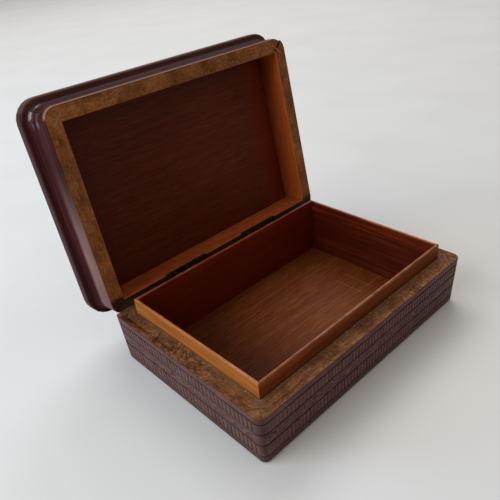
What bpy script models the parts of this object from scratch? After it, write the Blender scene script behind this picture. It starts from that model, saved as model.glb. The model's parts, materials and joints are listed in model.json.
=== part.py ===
"""A hinged wooden puzzle box, standing open, with a lid top that slides aside over a hidden hollow.

Metres, +Z up. The origin is the middle of the underside. The box's long side runs along X, its
front faces -Y and its hinges are at the back. The lid's pieces are modelled shut, in the frame of
an empty on the hinge axis, and that empty is then turned back to the lid's stop.
"""
import math

import bmesh
import bpy
from mathutils import Matrix, Vector

# Clearance between neighbouring pieces.
GAP = 0.0003

# Base: four mitred walls around a bottom panel.
BASE_LENGTH = 0.160
BASE_WIDTH = 0.112
BASE_HEIGHT = 0.0300
BASE_TAPER = 0.0018
BASE_WALL = 0.0090
BASE_BACK_WALL = 0.0085
CORNER_RADIUS = 0.0048
ARRIS = 0.0003
FOOT_RADIUS = 0.0018
BOTTOM_THICKNESS = 0.0026
BOTTOM_REBATE = 0.0030

# Carved lines that part the outside of the base into bands, each at its height.
CARVED_LINE_HEIGHTS = (0.0053, 0.0126, 0.0199, 0.0265)
CARVED_LINE_WIDTH = 0.0008
CARVED_LINE_DEPTH = 0.0009

# Liner: thin boards inside the base that stand above its rim.
LINER_THICKNESS = 0.0016
LINER_PROUD = 0.0087
LINER_EDGE = 0.0004

# Splines: thin strips across the corner mitres, centred this far in from both outer faces. One
# end shows in the mating face, and the other stops short of the panel's rebate.
SPLINE_THICKNESS = 0.0006
SPLINE_WIDTH = 0.0076
SPLINE_INSET = 0.0064
SPLINE_STOP = 0.0020

# Lid frame: four mitred rails with a cove and a bead that flare out under the top.
LID_RAIL = 0.0081
LID_BACK_RAIL = 0.0072
LID_RECESS = 0.0170
LID_PANEL_THICKNESS = 0.0022
LID_PANEL_REBATE = 0.0025
LID_CORNER_RADIUS = 0.0070
COVE_START = 0.0122
COVE_RISE = 0.0050
COVE_REACH = 0.0029
BEAD_RADIUS = 0.0015

# Lid top: a board as wide as the bead, with a round edge, hollowed out below.
TOP_THICKNESS = 0.0066
TOP_EDGE_RADIUS = 0.0030
HOLLOW_DEPTH = 0.0040
HOLLOW_MARGIN = 0.0030
TOP_TRAVEL = 0.045

# Dovetail runners under the top, in grooves along the front and back rails.
RUNNER_LENGTH = 0.080
RUNNER_HEIGHT = 0.0030
RUNNER_NECK = 0.0022
RUNNER_FOOT = 0.0034
RUNNER_INSET = 0.0018

# Hinges: the axis is set in from the back face, and bevels stop the lid at its open angle.
OPEN_ANGLE = 99.85
AXIS_INSET = 0.0016
HINGE_SPACING = 0.0580
HINGE_LENGTH = 0.0284
LEAF_WIDTH = 0.0052
LEAF_THICKNESS = 0.0007
PIN_RADIUS = 0.0006
PIN_CLEARANCE = 0.00025
KNUCKLES = 3
CURL_TURN = 270.0

# Countersunk screws, two in each leaf.
SCREW_SPACING = 0.0170
SCREW_SET_BACK = 0.0036
SCREW_LENGTH = 0.0070
SCREW_HEAD_RADIUS = 0.0012
SCREW_SHANK_RADIUS = 0.0006
SCREW_HEAD_HEIGHT = 0.0006
SCREW_TIP = 0.0012
SCREW_POINT_RADIUS = 0.00015
SCREW_CLEARANCE = 0.00025

# Fineness of round shapes.
CORNER_SEGMENTS = 6
SMALL_EDGE_SEGMENTS = 2
EDGE_SEGMENTS = 4
COVE_SEGMENTS = 6
WIDE_EDGE_SEGMENTS = 8
ROUND_SIDES = 12
SHARP_ANGLE = 35.0

# Distances below which points count as one point, and a point counts as on a plane.
MERGE_DISTANCE = 0.000001
PLANE_DISTANCE = 0.0000001

# Cutters reach this far past what they cut.
CUT_MARGIN = 0.004

# Sizes that follow from those above.
TOP_OVERHANG = COVE_REACH + BEAD_RADIUS
LINER_TOP = BASE_HEIGHT + LINER_PROUD
AXIS = Vector((0.0, BASE_WIDTH / 2 - AXIS_INSET, BASE_HEIGHT + GAP / 2))
LID_PANEL_TOP = LID_RECESS + LID_PANEL_THICKNESS
RAIL_HEIGHT = LID_PANEL_TOP + GAP
TOP_BOTTOM = RAIL_HEIGHT + GAP
BORE_RADIUS = PIN_RADIUS + PIN_CLEARANCE
KNUCKLE_RADIUS = BORE_RADIUS + LEAF_THICKNESS
SIDES = ("front", "back", "left", "right")
BASE_WALLS = {"front": BASE_WALL, "back": BASE_BACK_WALL, "left": BASE_WALL, "right": BASE_WALL}
LID_RAILS = {"front": LID_RAIL, "back": LID_BACK_RAIL, "left": LID_RAIL, "right": LID_RAIL}

# Which face of a wall a section point is measured from.
OUTER = "outer"
INNER = "inner"


def clear_scene():
    for thing in list(bpy.data.objects):
        bpy.data.objects.remove(thing)


def wood(name, colour, roughness):
    return finish(name, colour, roughness, 0.0)


def finish(name, colour, roughness, metallic):
    made = bpy.data.materials.new(name)
    made.use_nodes = True
    shader = made.node_tree.nodes["Principled BSDF"]
    shader.inputs["Base Color"].default_value = (*colour, 1.0)
    shader.inputs["Roughness"].default_value = roughness
    shader.inputs["Metallic"].default_value = metallic
    return made


def add_object(name, bm, material, parent=None):
    """Turn a bmesh into a named object with smooth round faces and sharp edges."""
    bmesh.ops.recalc_face_normals(bm, faces=bm.faces)
    mesh = bpy.data.meshes.new(name)
    bm.to_mesh(mesh)
    bm.free()
    mesh.shade_smooth()
    mesh.set_sharp_from_angle(angle=math.radians(SHARP_ANGLE))
    made = bpy.data.objects.new(name, mesh)
    if material:
        made.data.materials.append(material)
    if parent:
        made.parent = parent
    bpy.context.scene.collection.objects.link(made)
    return made


def add_cutter(name, bm, parent=None):
    made = add_object(name, bm, None, parent)
    made.hide_render = True
    made.display_type = "WIRE"
    return made


def cut(target, cutter):
    modifier = target.modifiers.new(cutter.name, "BOOLEAN")
    modifier.operation = "DIFFERENCE"
    modifier.solver = "EXACT"
    modifier.object = cutter


def block(low, high):
    """A box between two opposite corners, as a bmesh."""
    bm = bmesh.new()
    bmesh.ops.create_cube(bm, size=1.0)
    low = Vector(low)
    high = Vector(high)
    bmesh.ops.scale(bm, vec=high - low, verts=bm.verts)
    bmesh.ops.translate(bm, vec=(low + high) / 2, verts=bm.verts)
    return bm


def prism(outline, start, end):
    """A (y, z) outline extruded along X from start to end."""
    bm = bmesh.new()
    face = bm.faces.new([bm.verts.new((start, y, z)) for y, z in outline])
    grown = bmesh.ops.extrude_face_region(bm, geom=[face])
    moved = [item for item in grown["geom"] if isinstance(item, bmesh.types.BMVert)]
    bmesh.ops.translate(bm, vec=(end - start, 0.0, 0.0), verts=moved)
    return bm


def arc(centre, radius, start, end, segments):
    """Points on a circle or, with two radii, an ellipse, between two angles in degrees."""
    across, along = radius if isinstance(radius, tuple) else (radius, radius)
    points = []
    for step in range(segments + 1):
        angle = math.radians(start + (end - start) * step / segments)
        points.append((centre[0] + across * math.cos(angle), centre[1] + along * math.sin(angle)))
    return points


def from_outer(points):
    return [(OUTER, depth, height) for depth, height in points]


def from_inner(points):
    return [(INNER, depth, height) for depth, height in points]


def ring_loop(bm, point, size, radius, walls):
    """One closed loop of vertices round a rectangle, for one point of a wall's section.

    A point is (face, depth, height). Its depth goes into the wood from the outer or inner face.
    """
    face, depth, height = point
    half_x = size[0] / 2
    half_y = size[1] / 2
    loop = []
    quarters = ((1, 1, "right", "back"), (-1, 1, "left", "back"),
                (-1, -1, "left", "front"), (1, -1, "right", "front"))
    for quarter, (sign_x, sign_y, side_x, side_y) in enumerate(quarters):
        for step in range(CORNER_SEGMENTS + 1):
            angle = math.radians(90.0 * (quarter + step / CORNER_SEGMENTS))
            bend = max(radius - depth, 0.0) if face == OUTER else 0.0
            if face == OUTER:
                in_x = depth
                in_y = depth
            else:
                in_x = walls[side_x] - depth
                in_y = walls[side_y] - depth
            x = sign_x * (half_x - in_x - bend) + bend * math.cos(angle)
            y = sign_y * (half_y - in_y - bend) + bend * math.sin(angle)
            loop.append(bm.verts.new((x, y, height)))
    return loop


def bridge(bm, first, second):
    count = len(first)
    for index in range(count):
        after = (index + 1) % count
        bm.faces.new((first[index], first[after], second[after], second[index]))


def merge_points(bm):
    bmesh.ops.remove_doubles(bm, verts=bm.verts, dist=MERGE_DISTANCE)
    bmesh.ops.dissolve_degenerate(bm, edges=bm.edges, dist=MERGE_DISTANCE / 2)


def frame_ring(section, size, radius, walls):
    """A whole frame: a closed section carried round a rectangle with rounded outer corners."""
    bm = bmesh.new()
    loops = [ring_loop(bm, point, size, radius, walls) for point in section]
    for index, loop in enumerate(loops):
        bridge(bm, loop, loops[(index + 1) % len(loops)])
    merge_points(bm)
    return bm


def board(section, size, radius):
    """A board with shaped edges: loops round a rectangle with its first and last ones filled."""
    bm = bmesh.new()
    loops = [ring_loop(bm, point, size, radius, {}) for point in section]
    for index in range(len(loops) - 1):
        bridge(bm, loops[index], loops[index + 1])
    bm.faces.new(loops[0])
    bm.faces.new(reversed(loops[-1]))
    merge_points(bm)
    return bm


def trim(bm, point, normal):
    """Cut away what lies beyond a plane and close the cut."""
    everything = bm.verts[:] + bm.edges[:] + bm.faces[:]
    bmesh.ops.bisect_plane(bm, geom=everything, dist=PLANE_DISTANCE, plane_co=point, plane_no=normal,
                           clear_outer=True)
    open_edges = [edge for edge in bm.edges if edge.is_boundary]
    bmesh.ops.holes_fill(bm, edges=open_edges, sides=0)


def mitre_planes(side, size, walls):
    """The two corner planes of one wall of a frame, each pulled back by half a gap."""
    half_x = size[0] / 2
    half_y = size[1] / 2
    planes = []
    for turn in (-1, 1):
        if side in ("front", "back"):
            corner = (turn, -1 if side == "front" else 1)
        else:
            corner = (-1 if side == "left" else 1, turn)
        side_x = "left" if corner[0] < 0 else "right"
        side_y = "front" if corner[1] < 0 else "back"
        outer = Vector((corner[0] * half_x, corner[1] * half_y, 0.0))
        inner = Vector((corner[0] * (half_x - walls[side_x]), corner[1] * (half_y - walls[side_y]), 0.0))
        normal = (inner - outer).cross(Vector((0.0, 0.0, 1.0))).normalized()
        away = Vector((turn, 0.0, 0.0)) if side in ("front", "back") else Vector((0.0, turn, 0.0))
        if normal.dot(away) < 0:
            normal = -normal
        planes.append((outer - normal * GAP / 2, normal))
    return planes


def mitred_wall(side, section, size, radius, walls, centre, bevel=None):
    """One wall of a mitred frame, moved to the frame's centre, with the hinge bevel if it has one."""
    bm = frame_ring(section, size, radius, walls)
    for point, normal in mitre_planes(side, size, walls):
        trim(bm, point, normal)
    bmesh.ops.translate(bm, vec=centre, verts=bm.verts)
    if bevel and side != "front":
        trim(bm, *bevel)
    return bm


def stop_bevel(up):
    """The bevel on a back edge, beside the hinge axis: up is 1 on the base and -1 on the lid."""
    half = math.radians(OPEN_ANGLE / 2)
    normal = Vector((0.0, math.sin(half), up * math.cos(half)))
    return -normal * GAP / 2, normal


def lean(points):
    """Draw the outside in towards the foot, where it is narrower by the taper on each side."""
    return [(depth + BASE_TAPER * (1.0 - height / BASE_HEIGHT), height) for depth, height in points]


def base_section():
    outside = arc((FOOT_RADIUS, FOOT_RADIUS), FOOT_RADIUS, 270.0, 180.0, EDGE_SEGMENTS)
    for height in CARVED_LINE_HEIGHTS:
        low = height - CARVED_LINE_WIDTH / 2
        high = height + CARVED_LINE_WIDTH / 2
        outside += [(0.0, low), (CARVED_LINE_DEPTH, low), (CARVED_LINE_DEPTH, high), (0.0, high)]
    outside += [(0.0, BASE_HEIGHT - ARRIS), (ARRIS, BASE_HEIGHT)]
    section = from_outer(lean(outside))
    ledge = BOTTOM_THICKNESS + GAP
    section += from_inner([(0.0, BASE_HEIGHT), (0.0, ledge), (BOTTOM_REBATE, ledge), (BOTTOM_REBATE, 0.0)])
    return section


def lid_section():
    """The rails' section, with its foot on the hinge axis's height plus half a gap."""
    foot = GAP / 2
    cove_end = COVE_START + COVE_RISE
    cove = arc((-COVE_REACH, COVE_START), (COVE_REACH, COVE_RISE), 0.0, 90.0, COVE_SEGMENTS)
    bead = arc((-COVE_REACH, cove_end + BEAD_RADIUS), BEAD_RADIUS, 270.0, 180.0, EDGE_SEGMENTS)
    section = from_outer([(ARRIS, 0.0), (0.0, ARRIS)] + cove + bead[1:] + [(-TOP_OVERHANG, RAIL_HEIGHT)])
    ledge = LID_RECESS - GAP
    section += from_inner([(LID_PANEL_REBATE, RAIL_HEIGHT), (LID_PANEL_REBATE, ledge),
                           (0.0, ledge), (0.0, ARRIS), (ARRIS, 0.0)])
    return [(face, depth, height + foot) for face, depth, height in section]


def spline_block(corner, low, high, thickness, width):
    """A strip that stands across one corner's mitre."""
    bm = block((-thickness / 2, -width / 2, low), (thickness / 2, width / 2, high))
    turn = math.atan2(corner[1], corner[0])
    bmesh.ops.rotate(bm, verts=bm.verts, cent=(0.0, 0.0, 0.0), matrix=Matrix.Rotation(turn, 3, "Z"))
    place = Vector((corner[0] * (BASE_LENGTH / 2 - SPLINE_INSET),
                    corner[1] * (BASE_WIDTH / 2 - SPLINE_INSET), 0.0))
    bmesh.ops.translate(bm, vec=place, verts=bm.verts)
    return bm


def add_splines(prefix, walls, low, high, shift, up, material, parent):
    """Four splines and their slots. The slots run out through the mating face."""
    for side_y, sign_y in (("front", -1), ("back", 1)):
        for side_x, sign_x in (("left", -1), ("right", 1)):
            name = f"{prefix}_spline_{side_y}_{side_x}"
            bm = spline_block((sign_x, sign_y), low, high, SPLINE_THICKNESS, SPLINE_WIDTH)
            bmesh.ops.translate(bm, vec=shift, verts=bm.verts)
            add_object(name, bm, material, parent)
            slot_low = low - GAP if up else low - CUT_MARGIN
            slot_high = high + CUT_MARGIN if up else high + GAP
            slot = spline_block((sign_x, sign_y), slot_low, slot_high, SPLINE_THICKNESS + 2 * GAP,
                                SPLINE_WIDTH + 2 * GAP)
            bmesh.ops.translate(slot, vec=shift, verts=slot.verts)
            cutter = add_cutter(f"cut_{name}", slot, parent)
            cut(walls[side_x], cutter)
            cut(walls[side_y], cutter)


def add_base(materials):
    size = (BASE_LENGTH, BASE_WIDTH)
    bevel_point, bevel_normal = stop_bevel(1)
    walls = {}
    for side in SIDES:
        bm = mitred_wall(side, base_section(), size, CORNER_RADIUS, BASE_WALLS, (0.0, 0.0, 0.0),
                         (AXIS + bevel_point, bevel_normal))
        walls[side] = add_object(f"base_wall_{side}", bm, materials["stained"])
    foot = BOTTOM_THICKNESS + GAP + SPLINE_STOP
    add_splines("base", walls, foot, BASE_HEIGHT, Vector((0.0, 0.0, 0.0)), True, materials["spline"], None)
    edge = BASE_WALL - BOTTOM_REBATE + GAP
    back_edge = BASE_BACK_WALL - BOTTOM_REBATE + GAP
    panel = block((edge - BASE_LENGTH / 2, edge - BASE_WIDTH / 2, 0.0),
                  (BASE_LENGTH / 2 - edge, BASE_WIDTH / 2 - back_edge, BOTTOM_THICKNESS))
    add_object("bottom_panel", panel, materials["floor"])
    return walls


def add_liner(materials):
    """The liner follows the opening between the base's walls."""
    length = BASE_LENGTH - 2 * BASE_WALL - 2 * GAP
    width = BASE_WIDTH - BASE_WALL - BASE_BACK_WALL - 2 * GAP
    centre = (0.0, (BASE_WALL - BASE_BACK_WALL) / 2, 0.0)
    walls = {side: LINER_THICKNESS for side in SIDES}
    foot = BOTTOM_THICKNESS + GAP
    round_out = arc((LINER_EDGE, LINER_TOP - LINER_EDGE), LINER_EDGE, 180.0, 90.0,
                    SMALL_EDGE_SEGMENTS)
    section = from_outer([(0.0, foot)] + round_out)
    section += from_inner([(LINER_EDGE, LINER_TOP), (0.0, LINER_TOP - LINER_EDGE), (0.0, foot)])
    for side in SIDES:
        bm = mitred_wall(side, section, (length, width), LINER_EDGE, walls, centre)
        add_object(f"liner_board_{side}", bm, materials["liner"])


def add_lid_frame(materials, pivot):
    size = (BASE_LENGTH, BASE_WIDTH)
    centre = (0.0, -AXIS.y, 0.0)
    rails = {}
    for side in SIDES:
        bm = mitred_wall(side, lid_section(), size, LID_CORNER_RADIUS, LID_RAILS, centre, stop_bevel(-1))
        rails[side] = add_object(f"lid_rail_{side}", bm, materials["stained"], pivot)
    low = GAP / 2
    high = low + LID_RECESS - GAP - SPLINE_STOP
    add_splines("lid", rails, low, high, Vector(centre), False, materials["spline"], pivot)
    edge = LID_RAIL - LID_PANEL_REBATE + GAP
    back_edge = LID_BACK_RAIL - LID_PANEL_REBATE + GAP
    panel = block((edge - BASE_LENGTH / 2, edge - BASE_WIDTH / 2, low + LID_RECESS),
                  (BASE_LENGTH / 2 - edge, BASE_WIDTH / 2 - back_edge, low + LID_PANEL_TOP))
    bmesh.ops.translate(panel, vec=centre, verts=panel.verts)
    add_object("lid_inner_panel", panel, materials["panel"], pivot)
    return rails


def top_section():
    """The lid top's edge from the hollow's ceiling, down, out, round and over to its upper face."""
    low = TOP_BOTTOM
    high = TOP_BOTTOM + TOP_THICKNESS
    hollow_edge = TOP_OVERHANG + LID_RAIL + HOLLOW_MARGIN
    upper = arc((TOP_EDGE_RADIUS, high - TOP_EDGE_RADIUS), TOP_EDGE_RADIUS, 180.0, 90.0, WIDE_EDGE_SEGMENTS)
    points = [(hollow_edge, low + HOLLOW_DEPTH), (hollow_edge, low), (0.0, low)] + upper
    return from_outer([(depth, height + GAP / 2) for depth, height in points])


def add_lid_top(materials, pivot):
    size = (BASE_LENGTH + 2 * TOP_OVERHANG, BASE_WIDTH + 2 * TOP_OVERHANG)
    bm = board(top_section(), size, LID_CORNER_RADIUS + TOP_OVERHANG)
    bmesh.ops.translate(bm, vec=(0.0, -AXIS.y, 0.0), verts=bm.verts)
    add_object("lid_top", bm, materials["stained"], pivot)


def runner_outline(middle, grow):
    """A dovetail section, wider at its foot, hanging from the lid top's underside."""
    high = TOP_BOTTOM - GAP + GAP / 2
    low = high - RUNNER_HEIGHT
    neck = RUNNER_NECK / 2 + grow
    foot = RUNNER_FOOT / 2 + grow
    rise = CUT_MARGIN if grow else 0.0
    return [(middle - foot, low - grow), (middle + foot, low - grow), (middle + neck, high),
            (middle + neck, high + rise), (middle - neck, high + rise), (middle - neck, high)]


def add_runners(materials, pivot, rails):
    """Each groove is longer than its runner by the top's travel, so its end stops the top."""
    start = -(RUNNER_LENGTH + TOP_TRAVEL) / 2
    for side, sign in (("front", -1), ("back", 1)):
        middle = sign * (BASE_WIDTH / 2 - RUNNER_INSET) - AXIS.y
        section = runner_outline(middle, 0.0)
        plain = section[:3] + section[5:]
        bm = prism(plain, start, start + RUNNER_LENGTH)
        add_object(f"lid_top_runner_{side}", bm, materials["runner"], pivot)
        groove = prism(runner_outline(middle, GAP), start - GAP, start + RUNNER_LENGTH + TOP_TRAVEL + GAP)
        cut(rails[side], add_cutter(f"cut_runner_{side}", groove, pivot))


def leaf_mesh(up, own_knuckles):
    """A hinge leaf on the axis: a flat plate whose tabs are rolled round the pin.

    up is -1 for the leaf on the base and 1 for the leaf in the lid.
    """
    bm = bmesh.new()
    inner = up * BORE_RADIUS
    step = HINGE_LENGTH / KNUCKLES
    clear = -(KNUCKLE_RADIUS + GAP)
    plate_faces = []
    for index in range(KNUCKLES):
        left = -HINGE_LENGTH / 2 + index * step
        right = left + step
        own = index in own_knuckles
        tab_left = left if index == 0 else left + GAP / 2
        tab_right = right if index == KNUCKLES - 1 else right - GAP / 2
        stops = (left, tab_left, tab_right, right)
        for first, second in zip(stops, stops[1:]):
            if second - first < MERGE_DISTANCE:
                continue
            corners = ((first, -LEAF_WIDTH), (second, -LEAF_WIDTH), (second, clear), (first, clear))
            plate_faces.append(bm.faces.new([bm.verts.new((x, y, inner)) for x, y in corners]))
        if own:
            corners = ((tab_left, clear), (tab_right, clear), (tab_right, 0.0), (tab_left, 0.0))
            plate_faces.append(bm.faces.new([bm.verts.new((x, y, inner)) for x, y in corners]))
    bmesh.ops.remove_doubles(bm, verts=bm.verts, dist=MERGE_DISTANCE)
    grown = bmesh.ops.extrude_face_region(bm, geom=bm.faces[:], use_keep_orig=True)
    moved = [item for item in grown["geom"] if isinstance(item, bmesh.types.BMVert)]
    bmesh.ops.translate(bm, vec=(0.0, 0.0, up * LEAF_THICKNESS), verts=moved)
    bmesh.ops.recalc_face_normals(bm, faces=bm.faces)
    tab_ends = [face for face in bm.faces if max(abs(corner.co.y) for corner in face.verts) < MERGE_DISTANCE]
    bmesh.ops.spin(bm, geom=tab_ends, cent=(0.0, 0.0, 0.0), axis=(1.0, 0.0, 0.0),
                   angle=math.radians(-up * CURL_TURN), steps=ROUND_SIDES, use_merge=False)
    bmesh.ops.delete(bm, geom=tab_ends, context="FACES_ONLY")
    bmesh.ops.remove_doubles(bm, verts=bm.verts, dist=MERGE_DISTANCE)
    return bm


def screw_mesh(grow):
    """A countersunk screw whose head is level with z = 0 and whose point is below it."""
    head = SCREW_HEAD_RADIUS + grow
    shank = SCREW_SHANK_RADIUS + grow
    tip = -SCREW_LENGTH - grow
    outline = [(head, 0.0), (shank, -SCREW_HEAD_HEIGHT), (shank, tip + SCREW_TIP), (SCREW_POINT_RADIUS, tip)]
    if grow:
        outline.insert(0, (head, SCREW_HEAD_HEIGHT))
    bm = bmesh.new()
    loops = []
    for radius, height in outline:
        ring = bmesh.ops.create_circle(bm, segments=ROUND_SIDES, radius=radius)["verts"]
        bmesh.ops.translate(bm, vec=(0.0, 0.0, height), verts=ring)
        loops.append(ring)
    for first, second in zip(loops, loops[1:]):
        bridge(bm, first, second)
    bm.faces.new(loops[0])
    bm.faces.new(reversed(loops[-1]))
    return bm


def add_screw(name, x, up, origin, material, parent, targets):
    """A screw through a leaf: into the base where up is -1, and into the lid where up is 1."""
    head = origin + Vector((x, -SCREW_SET_BACK, up * (BORE_RADIUS + SCREW_CLEARANCE / 2)))
    turn = Matrix.Rotation(math.pi if up > 0 else 0.0, 3, "X")
    for grow in (0.0, SCREW_CLEARANCE):
        bm = screw_mesh(grow)
        bmesh.ops.rotate(bm, verts=bm.verts, cent=(0.0, 0.0, 0.0), matrix=turn)
        bmesh.ops.translate(bm, vec=head, verts=bm.verts)
        if grow:
            cutter = add_cutter(f"cut_{name}", bm, parent)
            for target in targets:
                cut(target, cutter)
        else:
            add_object(name, bm, material, parent)


def add_mortise(name, x, up, origin, width, parent, target):
    """The recess that a leaf lies in, open to the back and to the mating face."""
    half = HINGE_LENGTH / 2 + GAP
    deep = up * (KNUCKLE_RADIUS + GAP)
    shallow = -up * CUT_MARGIN
    bm = block((x - half, -width, min(deep, shallow)), (x + half, CUT_MARGIN, max(deep, shallow)))
    bmesh.ops.translate(bm, vec=origin, verts=bm.verts)
    cut(target, add_cutter(f"cut_{name}", bm, parent))


def add_hinge(side, x, materials, pivot, base_back, lid_back):
    """Two leaves, their pin and four screws, with the recess for each leaf."""
    centre = Vector((0.0, 0.0, 0.0))
    open_width = LID_BACK_RAIL + CUT_MARGIN
    homes = (("base", -1, (0, 2), AXIS, None, base_back, LEAF_WIDTH + GAP),
             ("lid", 1, (1,), centre, pivot, lid_back, open_width))
    for home, up, own, origin, parent, wall, mortise_width in homes:
        add_mortise(f"{home}_hinge_recess_{side}", x, up, origin, mortise_width, parent, wall)
        bm = leaf_mesh(up, own)
        bmesh.ops.translate(bm, vec=origin + Vector((x, 0.0, 0.0)), verts=bm.verts)
        leaf = add_object(f"hinge_{side}_{home}_leaf", bm, materials["brass"], parent)
        for letter, offset in (("a", -SCREW_SPACING / 2), ("b", SCREW_SPACING / 2)):
            add_screw(f"hinge_{side}_{home}_screw_{letter}", x + offset, up, origin, materials["steel"],
                      parent, (leaf, wall))
    pin = bmesh.new()
    bmesh.ops.create_cone(pin, cap_ends=True, segments=ROUND_SIDES, radius1=PIN_RADIUS,
                          radius2=PIN_RADIUS, depth=HINGE_LENGTH)
    bmesh.ops.rotate(pin, verts=pin.verts, cent=(0.0, 0.0, 0.0), matrix=Matrix.Rotation(math.pi / 2, 3, "Y"))
    bmesh.ops.translate(pin, vec=AXIS + Vector((x, 0.0, 0.0)), verts=pin.verts)
    add_object(f"hinge_{side}_pin", pin, materials["steel"])


def build():
    clear_scene()
    materials = {
        "stained": wood("stained_wood", (0.115, 0.055, 0.058), 0.35),
        "spline": wood("pale_spline_wood", (0.42, 0.22, 0.09), 0.55),
        "liner": wood("orange_liner_wood", (0.32, 0.12, 0.03), 0.45),
        "floor": wood("floor_wood", (0.16, 0.06, 0.03), 0.5),
        "panel": wood("dark_panel_wood", (0.06, 0.016, 0.008), 0.45),
        "runner": wood("runner_wood", (0.30, 0.15, 0.06), 0.5),
        "brass": finish("aged_brass", (0.20, 0.13, 0.05), 0.45, 1.0),
        "steel": finish("dull_steel", (0.30, 0.28, 0.26), 0.4, 1.0),
    }
    pivot = bpy.data.objects.new("lid_pivot", None)
    bpy.context.scene.collection.objects.link(pivot)
    pivot.location = AXIS
    pivot.rotation_euler = (-math.radians(OPEN_ANGLE), 0.0, 0.0)

    walls = add_base(materials)
    add_liner(materials)
    rails = add_lid_frame(materials, pivot)
    add_lid_top(materials, pivot)
    add_runners(materials, pivot, rails)
    for side, sign in (("left", -1), ("right", 1)):
        add_hinge(side, sign * HINGE_SPACING / 2, materials, pivot, walls["back"], rails["back"])


build()
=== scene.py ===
# %% [markdown]
# # A hinged wooden box with a hidden slide
#
# The box is a small carved trinket box. Four mitred walls make the base, thin boards line it and
# stand above its rim, and a deep lid hangs open on two butt hinges. Its sizes are settled in the
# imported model, which is loaded first and never moved. This file gives every piece its wood, its
# carving and its wear, and puts it on a pale table in soft light.

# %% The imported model
import json
import math
import random

import bmesh
import bpy
from mathutils import Matrix, Vector, noise

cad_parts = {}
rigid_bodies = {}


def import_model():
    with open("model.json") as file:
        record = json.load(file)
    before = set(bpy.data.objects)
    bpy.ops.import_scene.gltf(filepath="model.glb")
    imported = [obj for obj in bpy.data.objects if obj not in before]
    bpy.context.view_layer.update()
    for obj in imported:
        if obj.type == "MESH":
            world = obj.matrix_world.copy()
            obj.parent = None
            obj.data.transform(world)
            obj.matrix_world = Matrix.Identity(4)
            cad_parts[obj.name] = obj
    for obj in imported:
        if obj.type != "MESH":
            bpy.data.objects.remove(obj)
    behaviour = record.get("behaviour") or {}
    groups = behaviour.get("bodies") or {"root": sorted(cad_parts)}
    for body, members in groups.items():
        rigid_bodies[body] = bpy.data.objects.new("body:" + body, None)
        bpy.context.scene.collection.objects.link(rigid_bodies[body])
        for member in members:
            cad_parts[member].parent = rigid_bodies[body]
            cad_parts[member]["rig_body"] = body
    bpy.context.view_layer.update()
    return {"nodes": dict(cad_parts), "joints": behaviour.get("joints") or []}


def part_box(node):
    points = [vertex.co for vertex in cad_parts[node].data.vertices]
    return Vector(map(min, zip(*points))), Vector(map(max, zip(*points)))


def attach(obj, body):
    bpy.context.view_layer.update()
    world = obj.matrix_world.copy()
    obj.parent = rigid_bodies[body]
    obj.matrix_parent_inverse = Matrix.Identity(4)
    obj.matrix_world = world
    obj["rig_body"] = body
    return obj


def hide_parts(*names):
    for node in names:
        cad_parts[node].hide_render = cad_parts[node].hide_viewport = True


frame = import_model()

# %% [markdown]
# ## Sizes read from the model
#
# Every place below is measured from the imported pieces: the outside of the base, the height of its
# rim, the top of the liner and the line that the lid turns on. Patterns are easier to think about
# in millimetres and on a shut lid, so the lid also gets a turn that brings it back to shut.

# %% Sizes
SIDES = ("front", "back", "left", "right")
base_low = Vector(map(min, *(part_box(f"base_wall_{side}")[0] for side in SIDES)))
base_high = Vector(map(max, *(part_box(f"base_wall_{side}")[1] for side in SIDES)))
half_length = base_high.x
half_width = -base_low.y
rim_height = base_high.z
liner_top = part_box("liner_board_front")[1].z
lid_hinge = next(joint for joint in frame["joints"] if joint["name"] == "lid_hinge")
hinge_axis = Vector(lid_hinge["pos_m"])
open_angle = math.radians(lid_hinge["range_deg"][1])
to_axis = Matrix.Translation(hinge_axis)
shut = to_axis @ Matrix.Rotation(open_angle, 4, "X") @ to_axis.inverted()
opened = shut.inverted()
MM = 0.001
print(f"base {2000 * half_length:.1f} x {2000 * half_width:.1f} x {1000 * rim_height:.1f} mm")
print(f"lid open {math.degrees(open_angle):.1f} degrees about y {1000 * hinge_axis.y:.1f} mm")

# %% [markdown]
# ## Writing a finish as sums
#
# A material in Blender is a graph of nodes, and a graph is hard to read as code. `Wire` stands for
# what comes out of one node. It knows the usual signs, so `1 - worn * 0.5` adds the Math nodes for
# that sum. `Finish` holds one material and has one method that adds any other node.

# %% Wire: a socket that can be written into a sum
class Wire:
    """What comes out of one node. A sum written with it adds Math nodes to its finish."""

    def __init__(self, finish, socket):
        self.finish = finish
        self.socket = socket

    def maths(self, operation, *values):
        return self.finish.node("ShaderNodeMath", {"operation": operation}, dict(enumerate(values)))

    def __add__(self, other):
        return self.maths("ADD", self, other)

    def __radd__(self, other):
        return self.maths("ADD", other, self)

    def __sub__(self, other):
        return self.maths("SUBTRACT", self, other)

    def __rsub__(self, other):
        return self.maths("SUBTRACT", other, self)

    def __mul__(self, other):
        return self.maths("MULTIPLY", self, other)

    def __rmul__(self, other):
        return self.maths("MULTIPLY", other, self)

    def __abs__(self):
        return self.maths("ABSOLUTE", self)

    def lower(self, other):
        return self.maths("MINIMUM", self, other)

    def higher(self, other):
        return self.maths("MAXIMUM", self, other)

    def rise(self, start, end):
        """0 before start, 1 after end, and a soft step between them."""
        sockets = {"Value": self, "From Min": start, "From Max": end}
        return self.finish.node("ShaderNodeMapRange", {"interpolation_type": "SMOOTHSTEP"}, sockets)

    def fall(self, start, end):
        return 1.0 - self.rise(start, end)

    def near(self, middle, reach):
        """1 at the middle value, fading to 0 at that reach from it."""
        return abs(self - middle).fall(0.0, reach)


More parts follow.
